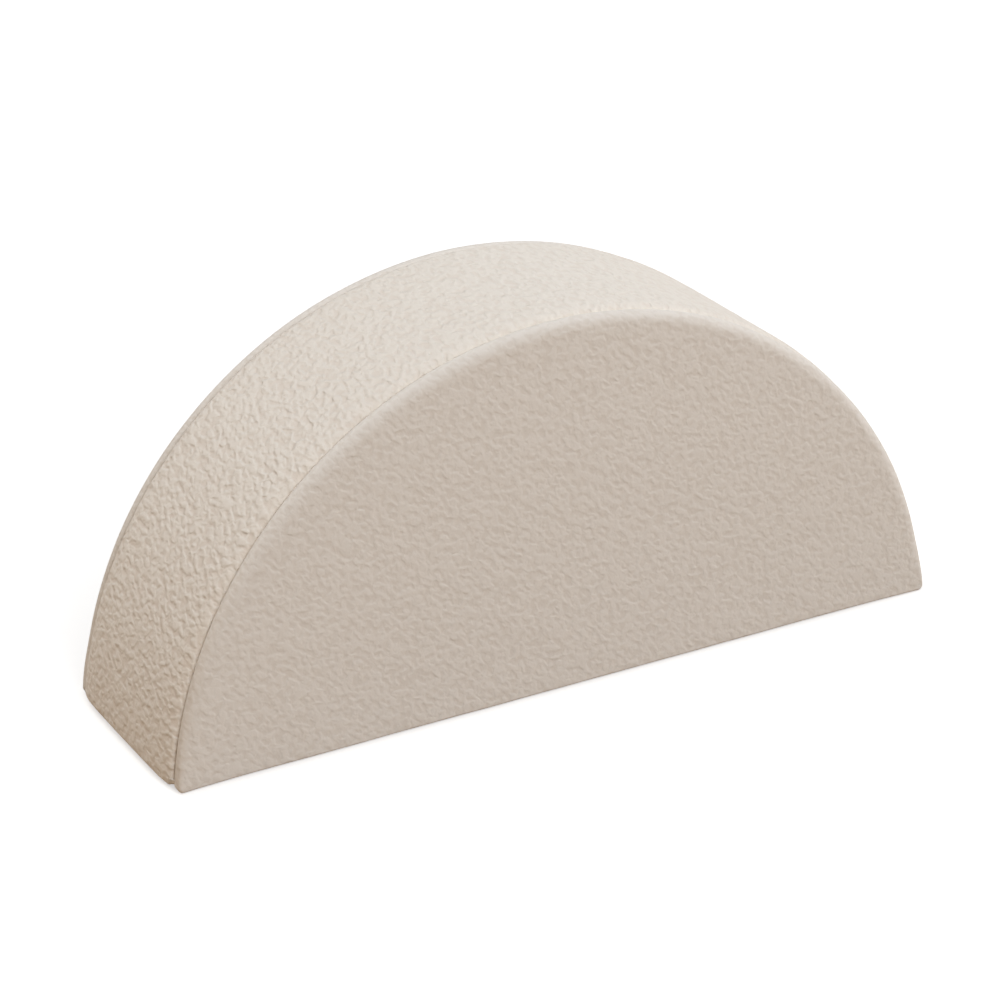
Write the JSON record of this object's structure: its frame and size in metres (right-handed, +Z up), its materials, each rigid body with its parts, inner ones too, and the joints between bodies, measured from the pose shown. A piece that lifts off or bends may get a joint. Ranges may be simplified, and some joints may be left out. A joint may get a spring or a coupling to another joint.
{
  "type": "half moon bracelet display",
  "caption": "Half moon block that a bracelet is draped over: a padded leatherette arch between two leatherette-covered panels, on a felt underside.",
  "frame": {"origin": "centre of the footprint, on the surface that the stand rests on", "axes": "+X along the base, -Y out of the front panel, +Z up to the crown of the arch"},
  "size_m": [0.1316, 0.0368, 0.0604],
  "materials": {
    "leatherette": "matte",
    "fibreboard": "matte",
    "greyboard": "matte",
    "foam": "matte",
    "felt": "matte"
  },
  "bodies": {
    "root": {"core_slab_front": "fibreboard", "core_slab_back": "fibreboard", "arch_padding": "foam", "arch_cover": "leatherette", "front_board": "greyboard", "front_cover": "leatherette", "front_levelling_card": "greyboard", "back_board": "greyboard", "back_cover": "leatherette", "back_levelling_card": "greyboard", "base_levelling_card": "greyboard", "base_felt": "felt"}
  },
  "joints": []
}
